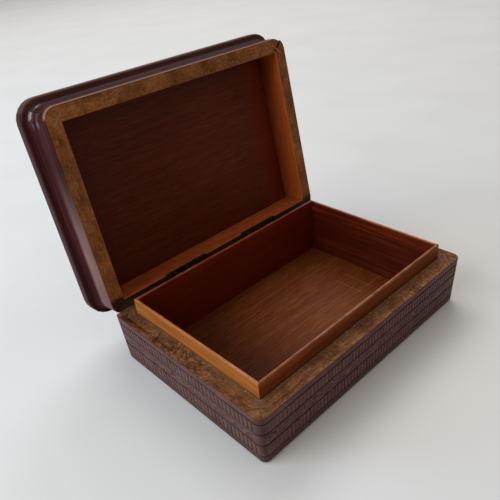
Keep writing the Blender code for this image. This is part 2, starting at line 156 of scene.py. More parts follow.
# %% Finish: one material and the one way to add nodes to it
class Finish:
    """A material under construction. Its places are in millimetres."""

    def __init__(self, name):
        self.material = bpy.data.materials.new(name)
        self.material.use_nodes = True
        self.tree = self.material.node_tree
        self.tree.nodes.clear()

    def node(self, kind, settings=None, sockets=None, output=0):
        """Add a node: settings first, then values or wires for its sockets."""
        made = self.tree.nodes.new(kind)
        for key, value in (settings or {}).items():
            if key == "stops":
                self.set_stops(made.color_ramp, value)
            else:
                setattr(made, key, value)
        for key, value in (sockets or {}).items():
            named = [socket for socket in made.inputs if socket.identifier == key]
            socket = named[0] if named else made.inputs[key]
            if isinstance(value, Wire):
                self.tree.links.new(value.socket, socket)
            else:
                socket.default_value = value
        return Wire(self, made.outputs[output])

    def set_stops(self, ramp, stops):
        while len(ramp.elements) < len(stops):
            ramp.elements.new(1.0)
        for element, (place, colour) in zip(ramp.elements, stops):
            element.position = place
            element.color = colour

    def ramp(self, amount, *stops):
        return self.node("ShaderNodeValToRGB", {"stops": stops}, {"Fac": amount})

    def blend(self, amount, first, second):
        """The first colour where the amount is 0 and the second where it is 1."""
        sockets = {"Factor_Float": amount, "A_Color": first, "B_Color": second}
        return self.node("ShaderNodeMix", {"data_type": "RGBA"}, sockets, "Result")

    def tint(self, amount, first, second):
        """The first colour multiplied by the second, as far as the amount says."""
        settings = {"data_type": "RGBA", "blend_type": "MULTIPLY"}
        sockets = {"Factor_Float": amount, "A_Color": first, "B_Color": second}
        return self.node("ShaderNodeMix", settings, sockets, "Result")

    def place(self, on_lid=False):
        """Where a point is, in millimetres, with the lid's points as if it were shut."""
        point = self.node("ShaderNodeTexCoord", output="Object")
        sockets = {"Vector": point, "Scale": (1.0 / MM,) * 3}
        if on_lid:
            sockets["Rotation"] = (open_angle, 0.0, 0.0)
            sockets["Location"] = shut.translation / MM
        return self.node("ShaderNodeMapping", {"vector_type": "POINT"}, sockets)

    def sides(self, point):
        """The x, y and z of a place as three wires."""
        parts = "ShaderNodeSeparateXYZ"
        return [self.node(parts, sockets={"Vector": point}, output=axis) for axis in "XYZ"]

    def noise(self, point, size, detail=2.0, swirl=0.0, output=0):
        """Cloudy noise whose clouds have this size along x, y and z in millimetres."""
        divided = self.node("ShaderNodeVectorMath", {"operation": "DIVIDE"}, {0: point, 1: size})
        sockets = {"Vector": divided, "Scale": 1.0, "Detail": detail, "Distortion": swirl}
        return self.node("ShaderNodeTexNoise", sockets=sockets, output=output)

    def bump(self, height, distance, strength=1.0, under=None):
        """A relief whose height of 1 stands this many millimetres proud."""
        sockets = {"Height": height, "Distance": distance * MM, "Strength": strength}
        if under:
            sockets["Normal"] = under
        return self.node("ShaderNodeBump", sockets=sockets, output="Normal")

    def surface(self, colour, roughness, normal, shine=0.25, coat=0.0, coat_roughness=0.3, metallic=0.0):
        """Join the colour, the roughness and the relief in one shader and give the material."""
        sockets = {"Base Color": colour, "Roughness": roughness, "Normal": normal,
                   "Specular IOR Level": shine, "Coat Weight": coat,
                   "Coat Roughness": coat_roughness, "Metallic": metallic}
        shader = self.node("ShaderNodeBsdfPrincipled", sockets=sockets)
        output = self.tree.nodes.new("ShaderNodeOutputMaterial")
        self.tree.links.new(shader.socket, output.inputs["Surface"])
        return self.material


# %% [markdown]
# ## Swatches
#
# Colours are written as a painter's swatch would give them, from 0 to 255 as a screen shows them,
# and turned into the light values that the renderer multiplies.

# %% Colours and directions
def swatch(red, green, blue):
    """A screen colour as linear light."""
    linear = [((value / 255 + 0.055) / 1.055) ** 2.4 for value in (red, green, blue)]
    return (*linear, 1.0)


def lengthways(along, length, width):
    """A size that is long along the grain ("x" or "y") and narrow the other ways."""
    return (length, width, width) if along == "x" else (width, length, width)


# %% [markdown]
# ## What all the woods share
#
# Wood is a bundle of long fibres. Close to, it shows fine streaks along the grain, broader bands
# of lighter and darker growth, and short open pores. All three are noise that is stretched along
# the grain by different amounts. They return numbers from about 0 to 1, so that each finish can
# use them for its colour, its gloss and its relief at once.

# %% Grain
def streaks(finish, point, along, width=0.55, length=26.0):
    """Fine fibres."""
    return finish.noise(point, lengthways(along, length, width), detail=3.0)


def bands(finish, point, along, width=4.0, length=70.0, swirl=0.6):
    """Broad growth bands that wander a little."""
    return finish.noise(point, lengthways(along, length, width), detail=2.0, swirl=swirl)


def pores(finish, point, along, width=0.28, length=3.2):
    """Short open pores: 1 in a pore and 0 between pores."""
    return finish.noise(point, lengthways(along, length, width), detail=1.0).rise(0.60, 0.72)


def inset(finish, point, half_x, half_y, corner):
    """How far inside a rounded outline a place is, in millimetres."""
    x, y, _ = finish.sides(point)
    over_x = abs(x) - (half_x - corner)
    over_y = abs(y) - (half_y - corner)
    outer_x = over_x.higher(0.0)
    outer_y = over_y.higher(0.0)
    squares = outer_x * outer_x + outer_y * outer_y
    round_part = squares.maths("SQRT", squares)
    straight_part = over_x.higher(over_y).lower(0.0)
    return corner - round_part - straight_part


# %% [markdown]
# ## The stained outside of the base
#
# The carved walls are stained a dull plum brown and have lost most of their polish. The stain
# could be one colour with dirt painted over it. Here the wood's own fibres and clouds vary it
# first, and then the carving does: two attributes called `carved` and `worn` are painted on the
# mesh when the cuts are made, so the cuts are darkened with dark stain and painted shade, and the
# ridges between them are rubbed pale. The plain border at the foot and the near corner are darker.
# In the band between the flutes, a smooth noise is folded back and forth by a ping-pong, which
# turns it into curling waves for the colour and the relief.

# %% Stained outside
corner_radius = 4.8
taper = 1.8
line_heights = (5.3, 12.6, 19.9, 26.5)
curl_height, curl_reach = 16.2, 3.6


def curling_waves(finish, point):
    """Curling lines about two millimetres apart: 0 in a line and 1 between lines."""
    curls = finish.noise(point, (6.0, 6.0, 4.5), detail=1.0, swirl=0.6)
    return curls.maths("PINGPONG", curls * 11.0, 0.5) * 2.0


def stained_outside(along):
    """The stain of the two walls whose grain runs along x or y."""
    finish = Finish(f"stained_wood_{along}")
    point = finish.place()
    x, y, z = finish.sides(point)
    fibres = streaks(finish, point, along)
    cloud = finish.noise(point, (9.0, 9.0, 9.0), detail=4.0)
    dust = finish.noise(point, (0.8, 0.8, 0.8), detail=2.0)
    mottle = finish.noise(point, (1.6, 1.6, 1.6), detail=4.0, swirl=0.8)
    carved = finish.node("ShaderNodeAttribute", {"attribute_name": "carved"}, output="Fac")
    worn = finish.node("ShaderNodeAttribute", {"attribute_name": "worn"}, output="Fac")
    colour = finish.ramp(fibres * 0.55 + cloud * 0.45,
                         (0.32, swatch(60, 34, 31)),
                         (0.52, swatch(90, 57, 53) if along == "y" else swatch(83, 50, 45)),
                         (0.70, swatch(112, 78, 74)))
    near_corner = x.fall(-77.5, -74.5) * y.fall(-54.0, -51.0)
    foot = z.fall(4.2, 5.4)
    colour = finish.blend(near_corner * 0.55, colour, swatch(52, 28, 26))
    colour = finish.blend(foot * 0.8, colour, swatch(66, 50, 44))
    colour = finish.blend(worn * (0.15 + dust * 0.5), colour, swatch(124, 92, 88))
    # The cuts and the floors of the scored lines darken: dark stain plus painted shade in the hollows.
    colour = finish.blend(carved * 0.85, colour, swatch(38, 14, 14))
    colour = finish.tint(mottle.rise(0.45, 0.7) * 0.6, colour, swatch(196, 176, 172))
    colour = finish.blend(dust.rise(0.62, 0.75) * 0.22, colour, swatch(150, 124, 120))
    middle = z.near(curl_height, curl_reach).rise(0.05, 0.5)
    waves = curling_waves(finish, point)
    colour = finish.blend(waves.fall(0.1, 0.55) * middle * 0.9, colour, swatch(46, 22, 22))
    colour = finish.blend(waves.rise(0.5, 1.0) * middle * 0.5, colour, swatch(134, 100, 98))
    normal = finish.bump(waves * middle * 0.9 + fibres * 0.35 + dust * 0.3, 0.22, 0.7)
    return finish.surface(colour, 0.42 + cloud * 0.25 + carved * 0.2, normal, shine=0.2)


# %% [markdown]
# ## Bare wood on the mating faces
#
# Where the lid meets the base the wood was never stained. It is a golden brown, darker in
# places, and warmer on the lid, whose strip beside the hinges is painted near black as shade. A
# burr leaves swirling dark outlines on the left rim and on two spots of the lid's front rail. Such
# outlines could be drawn one by one, but the places where a noise passes through its middle value
# already make closed, curling lines, so a narrow band around that value is tinted dark. How far a
# place lies inside the rounded outline then gives the thin line of stain at the edge and the line
# of old glue and wax along the liner's foot.

# %% Marks and painted shade on the two mating faces
liner_foot = 8.6


def base_marks(finish, colour, x, y, edge, fleck, smudge):
    """The dark near corner, old glue and wax along the liner, and patches darker towards the far left
    corner.
    """
    near_corner = x.fall(-66.0, -56.0) * y.fall(-42.0, -32.0)
    colour = finish.tint(near_corner * 0.7, colour, swatch(222, 214, 208))
    glue = edge.near(liner_foot, 2.8) * fleck.rise(0.36, 0.60)
    colour = finish.blend(glue * 0.75, colour, swatch(92, 80, 66))
    wax = edge.near(liner_foot + 0.2, 1.0) * fleck.rise(0.56, 0.66)
    colour = finish.blend(wax * 0.7, colour, swatch(170, 164, 146))
    # Darker in patches towards the far left corner, by the hinge.
    far_left_dark = y.rise(30.0, 48.0) * x.fall(-60.0, -50.0)
    return finish.blend(far_left_dark * smudge.rise(0.35, 0.6) * 0.7, colour, swatch(60, 42, 32))


def lid_hinge_shade(finish, colour, y):
    """Painted shade: the strip beside the hinges, darkened where the back rail shades it."""
    return finish.blend(y.rise(45.5, 48.5) * 0.9, colour, swatch(26, 14, 9))


def burr_places(x, y, on_lid):
    """Where the burr comes to the surface."""
    if on_lid:
        front_rail = y.fall(-40.0, -36.0)
        return x.near(-46.0, 22.0) * front_rail * 0.55 + x.near(15.0, 8.0) * front_rail * 0.5
    return y.near(8.0, 42.0).rise(0.0, 0.6) * x.fall(-66.0, -60.0)


# %% Bare rim
base_tones = (swatch(84, 52, 28), swatch(122, 78, 46), swatch(156, 110, 72))
lid_tones = (swatch(84, 46, 15), swatch(126, 74, 32), swatch(158, 102, 54))


def bare_rim(along, on_lid=False):
    """The bare wood of the base's rim, or of the lid's mating face."""
    finish = Finish(f"bare_rim_{along}{'_lid' if on_lid else ''}")
    point = finish.place(on_lid)
    x, y, _ = finish.sides(point)
    fibres = streaks(finish, point, along, 0.45, 6.0)
    growth = bands(finish, point, along, 2.4, 22.0, 1.6)
    pits = pores(finish, point, along)
    cloud = finish.noise(point, (11.0, 11.0, 11.0), detail=5.0)
    smudge = finish.noise(point, (6.0, 6.0, 6.0), detail=6.0, swirl=1.0)
    fleck = finish.noise(point, (1.5, 1.5, 1.5), detail=4.0, swirl=0.6)
    tones = lid_tones if on_lid else base_tones
    colour = finish.ramp(fibres * 0.35 + growth * 0.15 + cloud * 0.5, *zip((0.34, 0.50, 0.66), tones))
    colour = finish.blend(smudge.rise(0.52, 0.70) * 0.5, colour, swatch(76, 48, 30))
    flecked = 0.35 if on_lid else 0.6
    colour = finish.tint(fleck.rise(0.48, 0.62) * flecked, colour, swatch(164, 146, 134))
    colour = finish.blend(fleck.fall(0.30, 0.40) * 0.4, colour, swatch(176, 134, 88))
    curl = finish.noise(point, (7.5, 7.5, 7.5), detail=2.5, swirl=0.8)
    outline = abs(curl - 0.5).fall(0.012, 0.045) * smudge.rise(0.30, 0.48) * (fleck * 0.8 + 0.5)
    burr = outline * burr_places(x, y, on_lid)
    colour = finish.blend(burr * 0.85, colour, swatch(52, 28, 18))
    edge = inset(finish, point, half_length / MM, half_width / MM, corner_radius)
    if on_lid:
        colour = lid_hinge_shade(finish, colour, y)
    else:
        colour = base_marks(finish, colour, x, y, edge, fleck, smudge)
    colour = finish.blend(edge.fall(0.25, 0.6) * 0.85, colour, swatch(58, 34, 34))
    colour = finish.blend(pits * 0.35, colour, swatch(64, 36, 22))
    normal = finish.bump(fibres * 0.5 + growth * 0.3 - pits * 0.5 - burr * 0.5, 0.16, 0.8)
    return finish.surface(colour, 0.5 + smudge * 0.25, normal, shine=0.12)


# %% [markdown]
# ## The liner
#
# The thin boards inside are a redder wood. Outside, where they stand above the rim, they are
# polished to a clear orange on the ends and stained darker along the front. Inside they are
# almost oxblood. One recipe with its own three tones does for all of them. Their upper edges are
# rubbed pale by the lid, and their foot, where they meet the rim, is darkened with painted shade.

# %% Liner
def liner_wood(name, along, tones, edge_tone):
    """Polished board from dark to light tones, with a rubbed upper edge of the last tone."""
    finish = Finish(name)
    point = finish.place()
    _, _, z = finish.sides(point)
    fibres = streaks(finish, point, along, 0.6, 30.0)
    growth = bands(finish, point, along, 2.6, 60.0, 0.8)
    pits = pores(finish, point, along, 0.25, 4.0)
    dark = tones[0]
    colour = finish.ramp(fibres * 0.5 + growth * 0.5, *zip((0.32, 0.50, 0.68), tones))
    rub = finish.noise(point, (5.0, 5.0, 1.0), detail=4.0)
    top = z.rise(liner_top / MM - 0.7, liner_top / MM - 0.2)
    colour = finish.blend(top * (rub.rise(0.3, 0.7) * 0.75 + 0.05), colour, edge_tone)
    # Painted shade along the foot, where the board meets the rim.
    foot = z.fall(rim_height / MM + 0.2, rim_height / MM + 1.4)
    colour = finish.blend(foot * 0.45, colour, dark)
    colour = finish.blend(pits * 0.3, colour, dark)
    normal = finish.bump(fibres * 0.6 + growth * 0.2 - pits * 0.4, 0.08, 0.7)
    return finish.surface(colour, 0.32 + fibres * 0.16, normal, shine=0.3, coat=0.08)


# %% [markdown]
# ## The tray floor and the lid's panel
#
# Both are flat boards with fine straight grain along the box and a few pale hairlines. The grain
# could be a wave texture, but waves are too even for an old board, so three noises of different
# fineness are stretched along it. The floor has a painted pool of light: it is lightest near its
# middle and darker towards the walls with painted shade. It has two scratches across the grain.
# The panel in the lid is darker, has a fainter painted pool of light, and turns red toward its
# right end.

# %% Flat boards
def board_marks(finish, colour, x, y, on_lid, hairline):
    """The panel's red end, or the two scratches across the floor."""
    if on_lid:
        return finish.blend(x.rise(48.0, 64.0) * 0.3, colour, swatch(124, 36, 10))
    scratches = x.near(48.0, 0.45).higher(x.near(57.0, 0.35))
    return finish.blend(scratches * y.rise(-13.0, -11.0) * y.fall(8.0, 10.0) * 0.5, colour, hairline)


def board_wood(name, tones, hairline, pool_of_light_place, shade_fade, shine, on_lid=False):
    """A flat board with a painted pool of light: lightest at one place and darker by the fade away from it,
    as painted shade.
    """
    finish = Finish(name)
    point = finish.place(on_lid)
    x, y, _ = finish.sides(point)
    fibres = streaks(finish, point, "x", 0.55, 34.0)
    growth = bands(finish, point, "x", 3.2, 90.0, 0.5)
    pits = pores(finish, point, "x", 0.22, 5.0)
    fine = finish.noise(point, (9.0, 0.32, 0.32), detail=3.0)
    hair = finish.noise(point, (60.0, 0.35, 0.35), detail=1.0).rise(0.62, 0.72)
    colour = finish.ramp(fibres * 0.25 + growth * 0.15 + fine * 0.6, *zip((0.32, 0.50, 0.68), tones))
    colour = finish.blend(hair * 0.45, colour, hairline)
    colour = finish.blend(pits * 0.3, colour, tones[0])
    vector = "ShaderNodeVectorMath"
    level = finish.node(vector, {"operation": "MULTIPLY"}, {0: point, 1: (0.8, 1.0, 0.0)})
    away = finish.node(vector, {"operation": "DISTANCE"}, {0: level, 1: pool_of_light_place}, "Value")
    # Painted pool of light: darker with painted shade away from the lightest place.
    colour = finish.tint(away.rise(14.0, 58.0) * shade_fade, colour, swatch(172, 150, 136))
    colour = board_marks(finish, colour, x, y, on_lid, hairline)
    normal = finish.bump(fibres * 0.6 + growth * 0.2 - pits * 0.4 + hair * 0.3, 0.07, 0.7)
    return finish.surface(colour, 0.4 + fibres * 0.18, normal, shine=shine)


# %% [markdown]
# ## The polished outside of the lid
#
# The lid is a dark wine brown, and its polish has gone dull. A pale painted reflection of the
# table lies as a sheen on the left rail toward the hinges, a painted highlight runs along the
# front rail's lower edge, and the top's front edge is painted lighter in patches where light from
# above falls on it. Only the cove at the front left corner still gives a glint. A clear coat all
# over would shine everywhere, so the coat's weight is painted by place like the colours.

# %% Lid polish
def lid_polish(along):
    """The outside of the rails and the top, with its heights counted on the shut lid."""
    finish = Finish(f"lid_polish_{along}")
    point = finish.place(on_lid=True)
    x, y, z = finish.sides(point)
    fibres = streaks(finish, point, along, 0.5, 30.0)
    growth = bands(finish, point, along, 3.0, 70.0, 0.8)
    cloud = finish.noise(point, (14.0, 14.0, 14.0), detail=4.0)
    rim = rim_height / MM
    colour = finish.ramp(fibres * 0.5 + growth * 0.5,
                         (0.30, swatch(34, 10, 11)),
                         (0.50, swatch(50, 17, 17)),
                         (0.70, swatch(80, 34, 32)))
    # Painted reflection: a pale lilac sheen on the left rail toward the hinges.
    painted_sheen = y.rise(-30.0, 25.0) * x.fall(-79.0, -70.0) * z.fall(rim + 9.0, rim + 14.0)
    colour = finish.blend(painted_sheen * (cloud * 0.6 + 0.4), colour, swatch(134, 104, 98))
    # Painted highlight along the front rail's lower edge.
    painted_edge_highlight = z.fall(rim + 1.5, rim + 3.6) * y.fall(-52.0, -50.0)
    colour = finish.blend(painted_edge_highlight * 0.7, colour, swatch(152, 112, 102))
    # Painted highlight: the top's front edge, lit from above, is lighter in patches.
    board_edge_highlight = z.rise(rim + 16.5, rim + 18.5) * y.fall(-56.0, -54.0)
    colour = finish.blend(board_edge_highlight * (0.3 + cloud * 0.3), colour, swatch(104, 72, 62))
    near_corner = x.fall(-77.0, -72.0) * y.fall(-50.0, -45.0)
    still_glossy = near_corner * z.near(rim + 12.5, 6.0).rise(0.0, 0.4)
    normal = finish.bump(fibres * 0.5 + growth * 0.2, 0.05, 0.5)
    return finish.surface(colour, 0.38 + cloud * 0.12, normal, shine=0.05,
                          coat=still_glossy + 0.03, coat_roughness=0.12)


# %% [markdown]
# ## Small finishes
#
# The splines at the front are a paler wood, and the lid's splines by the hinges are painted dark
# as the shade that lies there. The runners are plain hardwood, the hinges are brass gone brown, and
# their screws and pins are dull steel. Faces inside a joint are raw brown wood, and the lid rails'
# mitre faces are painted near black as the shade in the torn mitre's gap. Two short recipes, one
# for wood and one for metal, cover them all: fibres and clouds for the woods, stains and fine
# scratches for the metals.

# %% Plain woods and metals
def plain_wood(name, along, dark, light, on_lid=False):
    """Unpolished wood between two tones."""
    finish = Finish(name)
    point = finish.place(on_lid)
    fibres = streaks(finish, point, along, 0.4, 12.0)
    cloud = finish.noise(point, (5.0, 5.0, 5.0), detail=3.0)
    colour = finish.ramp(fibres * 0.6 + cloud * 0.4, (0.3, dark), (0.7, light))
    return finish.surface(colour, 0.5 + cloud * 0.2, finish.bump(fibres, 0.08, 0.6))


def old_metal(name, dark, light, roughness):
    """Stained and scratched metal between two tones."""
    finish = Finish(name)
    point = finish.place()
    stain = finish.noise(point, (2.2, 2.2, 2.2), detail=5.0)
    scratch = finish.noise(point, (6.0, 0.15, 0.15), detail=1.0)
    colour = finish.ramp(stain, (0.35, dark), (0.65, light))
    normal = finish.bump(scratch + stain * 0.6, 0.03, 0.6)
    return finish.surface(colour, roughness + stain * 0.25, normal, shine=0.5, metallic=1.0)


# %% Every finish by name
finishes = {
    "stained_x": stained_outside("x"),
    "stained_y": stained_outside("y"),
    "rim_x": bare_rim("x"),
    "rim_y": bare_rim("y"),
    "lid_rim_x": bare_rim("x", on_lid=True),
    "lid_rim_y": bare_rim("y", on_lid=True),
    "polish_x": lid_polish("x"),
    "polish_y": lid_polish("y"),
    "liner_end": liner_wood(
        "liner_end", "y", (swatch(122, 62, 18), swatch(158, 90, 34), swatch(184, 114, 50)),
        swatch(176, 112, 62)),
    "liner_front": liner_wood(
        "liner_front", "x", (swatch(76, 28, 2), swatch(110, 46, 4), swatch(136, 64, 10)),
        swatch(160, 98, 54)),
    "liner_inside_x": liner_wood(
        "liner_inside_x", "x", (swatch(76, 14, 3), swatch(102, 25, 4), swatch(126, 40, 10)),
        swatch(134, 70, 32)),
    "liner_inside_y": liner_wood(
        "liner_inside_y", "y", (swatch(52, 10, 2), swatch(80, 22, 4), swatch(118, 46, 14)),
        swatch(134, 70, 32)),
    "tray_floor": board_wood(
        "tray_floor", (swatch(78, 33, 10), swatch(114, 58, 25), swatch(148, 86, 46)),
        hairline=swatch(172, 116, 78), pool_of_light_place=(20.0, 6.0, 0.0), shade_fade=0.75, shine=0.1),
    "lid_panel": board_wood(
        "lid_panel", (swatch(54, 16, 3), swatch(80, 29, 10), swatch(104, 45, 18)),
        hairline=swatch(126, 62, 30), pool_of_light_place=(30.0, 0.0, 0.0), shade_fade=0.3, shine=0.1, on_lid=True),
    "lid_inside_x": plain_wood("lid_inside_x", "x", swatch(124, 52, 16), swatch(172, 84, 34), on_lid=True),
    # The end rails' insides are lighter than the front and back rails': their own tone, raised in part as
    # painted light for the window light falling on them.
    "lid_inside_y": plain_wood("lid_inside_y", "y", swatch(156, 70, 20), swatch(196, 100, 40), on_lid=True),
    "spline": plain_wood("pale_spline", "x", swatch(92, 64, 44), swatch(122, 90, 62)),
    "lid_spline": plain_wood("pale_lid_spline", "x", swatch(110, 78, 50), swatch(146, 108, 74), on_lid=True),
    # Painted shade: the lid's splines beside the hinges are dark because shade lies there.
    "lid_spline_back": plain_wood(
        "shaded_lid_spline", "x", swatch(34, 20, 13), swatch(58, 38, 25), on_lid=True),
    "runner": plain_wood("runner_wood", "x", swatch(120, 80, 44), swatch(166, 118, 70), on_lid=True),
    "hidden": plain_wood("hidden_wood", "x", swatch(70, 40, 24), swatch(104, 66, 40)),
    # Painted shade: the lid rails' mitre faces, seen only in the torn mitre's gap, are near black.
    "mitre_shade": plain_wood("mitre_shade_wood", "x", swatch(30, 17, 10), swatch(48, 29, 18)),
    "underside": plain_wood("underside_wood", "x", swatch(92, 60, 40), swatch(130, 90, 60)),
    "brass": old_metal("aged_brass", swatch(40, 28, 16), swatch(92, 66, 36), 0.5),
    "steel": old_metal("dull_steel", swatch(58, 52, 46), swatch(112, 104, 96), 0.45),
}
print("finishes:", len(finishes))

# %% [markdown]
# ## Taking a piece over from the model
#
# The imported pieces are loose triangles, which shade flat and can't be edited well. Each one is
# copied, its corners are joined again and its flat faces dissolved, and the copy stands for the
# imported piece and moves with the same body. A copy may then be carved. Its faces get their
# finish by the way they point and where they are.

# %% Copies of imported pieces
def copy_mesh(node):
    """The node's shape as a clean bmesh."""
    bm = bmesh.new()
    bm.from_mesh(frame["nodes"][node].data)
    bmesh.ops.remove_doubles(bm, verts=bm.verts, dist=0.000002)
    bmesh.ops.dissolve_limit(bm, angle_limit=math.radians(0.4), verts=bm.verts, edges=bm.edges)
    return bm


def finish_piece(node, bm, materials, choose, sharp=35.0):
    """Make the bmesh an object that stands for the node. choose gives each face its finish."""
    bm.normal_update()
    for face in bm.faces:
        face.material_index = choose(face.calc_center_median(), face.normal)
    mesh = bpy.data.meshes.new(f"{node}_piece")
    bm.to_mesh(mesh)
    bm.free()
    for name in materials:
        mesh.materials.append(finishes[name])
    mesh.shade_smooth()
    mesh.set_sharp_from_angle(angle=math.radians(sharp))
    piece = bpy.data.objects.new(f"{node}_piece", mesh)
    bpy.context.scene.collection.objects.link(piece)
    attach(piece, frame["nodes"][node]["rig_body"])
    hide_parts(node)
    return piece


def plain_piece(node, material):
    """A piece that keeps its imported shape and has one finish."""
    return finish_piece(node, copy_mesh(node), [material], lambda centre, normal: 0)


# %% [markdown]
# ## The carved walls of the base
#
# Two bands of upright flutes run round the box between four scored lines, with a band of shallow
# curls between them. The flutes could be cut with a row of cutters and booleans, but that leaves
# ragged faces on a wall this thin. Here the copied wall is sliced instead, and what lies between
# two slices is pressed into the wood. The scored lines are in the model already and run round the
# corners. The walls lean in a little towards the foot, so a place's depth is counted from the
# leaning skin.

# %% Places on a leaning wall
line_reach = 0.45 * MM
line_floor = (0.5 * MM, 1.3 * MM)


def outward(side):
    """The way a wall faces."""
    return {"front": Vector((0, -1, 0)), "back": Vector((0, 1, 0)),
            "left": Vector((-1, 0, 0)), "right": Vector((1, 0, 0))}[side]


def lean(height):
    """How far the walls have drawn in at a height."""
    return taper * MM * (1.0 - height / rim_height)


def depth_below_skin(place):
    """How deep a place lies under the leaning, round-cornered outside of the base."""
    radius = corner_radius * MM
    over_x = abs(place.x) - (half_length - radius)
    over_y = abs(place.y) - (half_width - radius)
    reach = math.hypot(over_x, over_y) if min(over_x, over_y) > 0 else max(over_x, over_y)
    return radius - reach - lean(place.z)


def on_line(height):
    """Whether a height is inside one of the scored lines."""
    return any(abs(height - line * MM) < line_reach for line in line_heights)


# %% One wall on the bench
def slice_at(bm, axis, place, faces):
    """Cut faces along a plane across an axis, without removing anything."""
    edges = {edge for face in faces for edge in face.edges}
    corners = {corner for face in faces for corner in face.verts}
    point = Vector((0.0, 0.0, 0.0))
    point[axis] = place
    normal = Vector((0.0, 0.0, 0.0))
    normal[axis] = 1.0
    bmesh.ops.bisect_plane(bm, geom=list(corners) + list(edges) + list(faces), dist=0.000001,
                           plane_co=point, plane_no=normal)


class Wall:
    """A base wall while it is carved: its mesh, its two painted attributes and its directions."""

    def __init__(self, side, seed):
        self.node = f"base_wall_{side}"
        self.bm = copy_mesh(self.node)
        self.carved = self.bm.verts.layers.float.new("carved")
        self.worn = self.bm.verts.layers.float.new("worn")
        self.facing = outward(side)
        self.run = 0 if side in ("front", "back") else 1
        self.straight = (half_width if self.run else half_length) - corner_radius * MM
        self.chance = random.Random(seed)

    def faces(self, low, high):
        """The outside faces between two heights in millimetres."""
        return [face for face in self.bm.faces if face.normal.dot(self.facing) > 0.98
                and low * MM < face.calc_center_median().z < high * MM]

    def corners(self, low, high):
        """The corners of those faces, each one once."""
        return {corner for face in self.faces(low, high) for corner in face.verts}

    def slice_upright(self, place, low, high):
        slice_at(self.bm, self.run, place, self.faces(low, high))


# %% [markdown]
# ### Scored lines
#
# On the ends of the box the lines are worn shallower than on the front. Their floors are lifted
# towards the skin by the share that has worn away, and round the corners they are lifted along
# the corner's own radius. Two slices at each end keep that from bending the flat part.

# %% Scored lines
def settle_lines(wall, share):
    """Mark the floors of the scored lines and leave them only a share of their depth."""
    for end in (-1, 1):
        for past in (-0.3, 0.2):
            slice_at(wall.bm, wall.run, end * (wall.straight + past * MM), wall.bm.faces[:])
    for corner in wall.bm.verts:
        depth = depth_below_skin(corner.co)
        if on_line(corner.co.z) and line_floor[0] < depth < line_floor[1]:
            corner[wall.carved] = share
            middle = Vector((math.copysign(half_length - corner_radius * MM, corner.co.x),
                             math.copysign(half_width - corner_radius * MM, corner.co.y), corner.co.z))
            rounded = abs(corner.co[wall.run]) > wall.straight - 0.1 * MM
            way = (corner.co - middle).normalized() if rounded else wall.facing
            corner.co += way * depth * (1.0 - share)


# %% [markdown]
# ### Flutes
#
# A carver chops the flutes one by one, so no two are quite alike. Each flute gets four upright
# slices: two at its sides and two at its floor. A fixed seed moves the flute, its width and its
# depth a little, so the shape is the same each time. The first flutes of a wall are fainter,
# which is how the front's near end has worn. The ridges are rubbed unevenly. Those draws follow
# the order of a set of corners, which can differ between runs, so the pale specks may change
# places a little.

# %% Flutes
unevenness = 0.08
fading_length = 70.0 * MM


def chop_flutes(wall, low, high, pitch, share, depth, faint):
    """Chop upright flutes across a band, from one scored line to the next."""
    count = int(2 * (wall.straight + 0.4 * MM) / (pitch * MM))
    start = -count * pitch * MM / 2
    flutes = []
    for step in range(count):
        middle = start + (step + 0.5) * pitch * MM + wall.chance.uniform(-unevenness, unevenness) * MM
        half = (share * pitch / 2 + wall.chance.uniform(-unevenness, unevenness)) * MM
        clear = faint + (1.0 - faint) * min(1.0, (middle + wall.straight) / fading_length)
        flutes.append((middle, half, clear, depth * clear * wall.chance.uniform(0.6, 1.1) * MM))
        for place in (middle - half, middle - half * 0.5, middle + half * 0.5, middle + half):
            wall.slice_upright(place, low, high)
    for corner in wall.corners(low, high):
        for middle, half, clear, deep in flutes:
            away = abs(corner.co[wall.run] - middle)
            if away < half * 0.6:
                corner.co -= wall.facing * deep
                corner[wall.carved] = max(corner[wall.carved], clear * 0.8)
            elif away < half * 1.1:
                corner[wall.worn] = wall.chance.uniform(0.2, 1.0)
    return count


# %% [markdown]
# ### The curling band
#
# The middle band is covered with small curls too fine to carve one by one. It is sliced into a
# grid of about a millimetre, and a noise in space says how far each crossing is pressed in. The
# band's own edges stay where they are.

# %% Curls
curl_step = 1.1
curl_rows = 6


def press_curls(wall, low, high, depth):
    """Press a shallow curling relief into a band."""
    for step in range(1, int(2 * wall.straight / (curl_step * MM))):
        wall.slice_upright(-wall.straight + step * curl_step * MM, low, high)
    for row in range(1, curl_rows):
        slice_at(wall.bm, 2, (low + (high - low) * row / curl_rows) * MM, wall.faces(low, high))
    edge = 0.6 * MM
    for corner in wall.corners(low, high):
        between_lines = low * MM + edge < corner.co.z < high * MM - edge
        if between_lines and abs(corner.co[wall.run]) < wall.straight - edge:
            place = Vector((corner.co[wall.run] - corner.co.z, corner.co.z * 1.3, 0.0))
            curl = noise.noise(place / (2.4 * MM))
            corner.co -= wall.facing * max(curl, 0.0) * depth * MM


# %% [markdown]
# ### Mitres and finishes
#
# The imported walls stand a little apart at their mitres, because solids in the model mustn't
# touch. Real mitres are glued tight, so each end is drawn out until only a hairline is left. Then
# the wall's faces get their finish: bare on the rim, raw in the joints and stained outside.

# %% Mitres
def close_mitres(bm, facing, run):
    """Draw the mitred ends of a board outwards, so that its corners show a hairline and no gap."""
    for end in (-1, 1):
        along = Vector((0.0, 0.0, 0.0))
        along[run] = end
        cut = (along - facing).normalized()
        corners = {corner for face in bm.faces if face.normal.dot(cut) > 0.97 for corner in face.verts}
        bmesh.ops.translate(bm, vec=along * 0.18 * MM, verts=list(corners))


def faces_mitre(normal):
    """Whether a face points across a corner, as mitres and spline slots do."""
    return min(abs(normal.x), abs(normal.y)) > 0.6 and abs(normal.z) < 0.1


